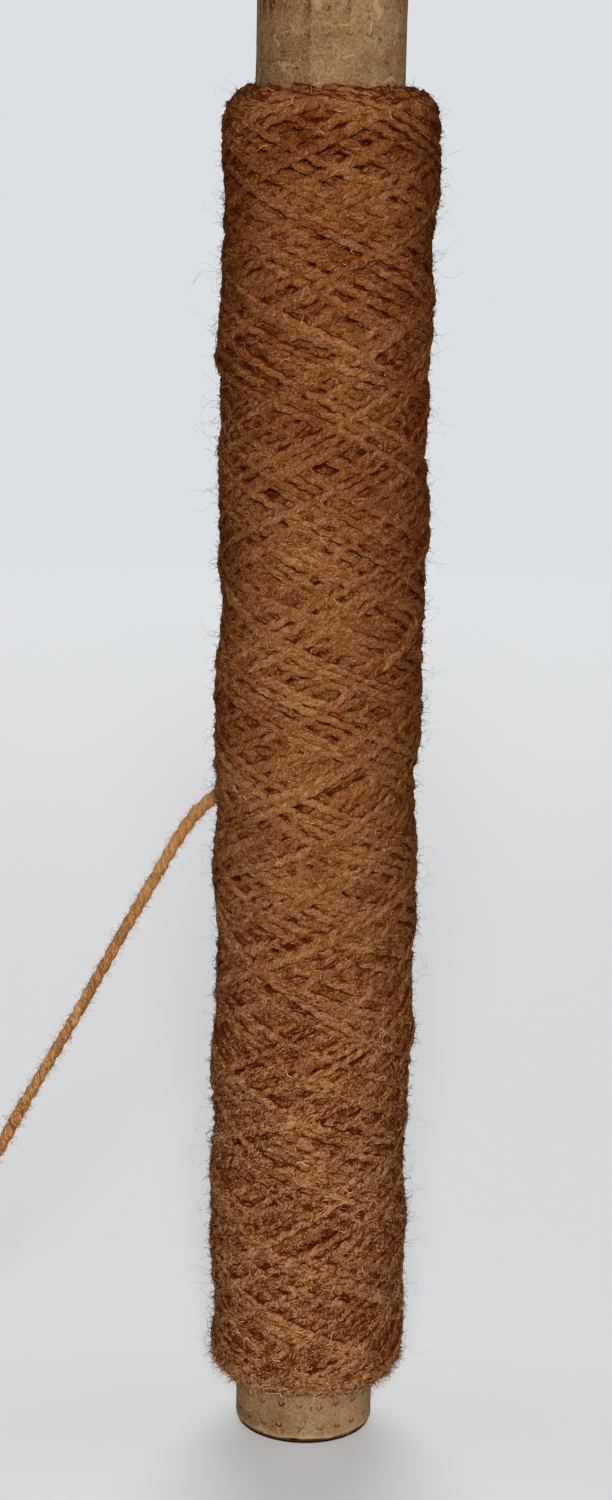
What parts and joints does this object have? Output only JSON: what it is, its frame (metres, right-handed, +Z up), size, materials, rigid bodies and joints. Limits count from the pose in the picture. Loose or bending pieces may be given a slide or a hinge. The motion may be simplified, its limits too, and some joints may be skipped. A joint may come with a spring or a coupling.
{
  "type": "spool of thread",
  "caption": "Tall paper tube cross-wound with plied wool yarn, bare at both ends, with the loose end of the yarn trailing to the ground.",
  "frame": {"origin": "middle of the tube's lower rim, on the tube's axis", "axes": "+Z up along the tube's axis; +X to the right and -Y towards the viewer when the loose end trails to the left"},
  "size_m": [0.2032, 0.0554, 0.4],
  "materials": {
    "kraft_ply": "matt grey-brown board",
    "kraft_face": "matt kraft paper with rows of small dents",
    "yarn_inner": "fuzzy wool, in shade",
    "yarn": "fuzzy wool"
  },
  "bodies": {
    "root": {"core_liner": "kraft_ply", "core_ply_1": "kraft_ply", "core_ply_2": "kraft_ply", "core_ply_3": "kraft_ply", "core_ply_4": "kraft_ply", "core_face_ply": "kraft_face", "yarn_base_layer": "yarn_inner", "yarn_close_layer": "yarn_inner", "yarn_lay_1": "yarn", "yarn_lay_2": "yarn", "yarn_lay_3": "yarn", "yarn_lay_4": "yarn", "yarn_tail": "yarn"}
  },
  "joints": []
}
